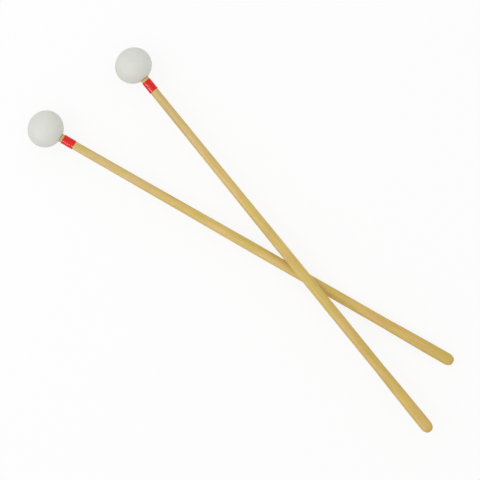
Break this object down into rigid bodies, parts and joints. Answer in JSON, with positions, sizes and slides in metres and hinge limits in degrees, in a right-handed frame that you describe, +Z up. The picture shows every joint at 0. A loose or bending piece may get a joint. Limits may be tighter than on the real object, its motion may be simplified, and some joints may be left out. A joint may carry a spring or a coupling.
{
  "type": "pair of xylophone mallets",
  "caption": "Xylophone mallets lying crossed: hard white plastic ball heads glued on turned wooden shafts, with a red sleeve round each neck.",
  "frame": {"origin": "on the floor, under the middle of the crossed pair's bounding box", "axes": "+X along the pair from the heads to the butts, halfway between the two shafts; +Y to the left of +X seen from above, which is the side of the upper mallet's head; +Z up"},
  "size_m": [0.3838, 0.108, 0.0285],
  "materials": {
    "head_plastic": "satin off-white",
    "shaft_wood": "clear satin lacquer on pale straight-grained wood",
    "sleeve_plastic": "soft gloss red",
    "set_glue": "amber, set hard"
  },
  "bodies": {
    "lower_mallet": {"lower_shaft": "shaft_wood", "lower_head": "head_plastic", "lower_sleeve": "sleeve_plastic", "lower_glue": "set_glue"},
    "upper_mallet": {"upper_shaft": "shaft_wood", "upper_head": "head_plastic", "upper_sleeve": "sleeve_plastic", "upper_glue": "set_glue"}
  },
  "joints": [
    {"name": "upper_lift", "type": "slide", "parent": "lower_mallet", "child": "upper_mallet", "axis": [0, 0, 1], "range_m": [0, 0.08]}
  ]
}
